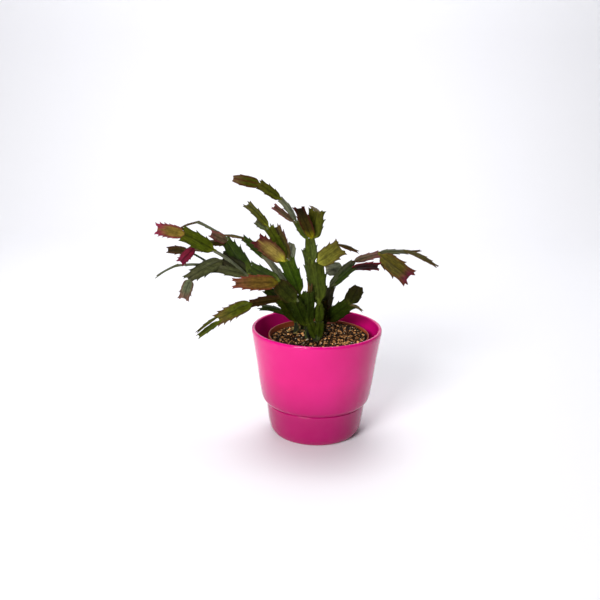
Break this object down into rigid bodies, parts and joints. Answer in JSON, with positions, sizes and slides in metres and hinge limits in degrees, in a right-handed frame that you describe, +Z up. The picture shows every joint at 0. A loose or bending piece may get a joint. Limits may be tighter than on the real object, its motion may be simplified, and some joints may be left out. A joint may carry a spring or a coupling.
{
  "type": "potted christmas cactus",
  "caption": "Christmas cactus with arching stems of flat toothed segments, growing in bark mix in a thin nursery pot that stands in a glossy cover pot with a narrower foot.",
  "frame": {"origin": "middle of the cover pot's flat foot, at the level it rests on", "axes": "+Z up along the cover pot's axis, front towards -Y, +X to the right as seen from the front"},
  "size_m": [0.3197, 0.1424, 0.2868],
  "materials": {
    "magenta_glaze": "gloss",
    "brown_plastic": "satin",
    "bark_mix": "matte",
    "leaf_segments": "satin"
  },
  "bodies": {
    "root": {"cachepot": "magenta_glaze", "nursery_pot": "brown_plastic", "soil": "bark_mix", "stem_centre": "leaf_segments", "stem_centre_left": "leaf_segments", "stem_far_left": "leaf_segments", "stem_low_left": "leaf_segments", "stem_right": "leaf_segments"}
  },
  "joints": []
}
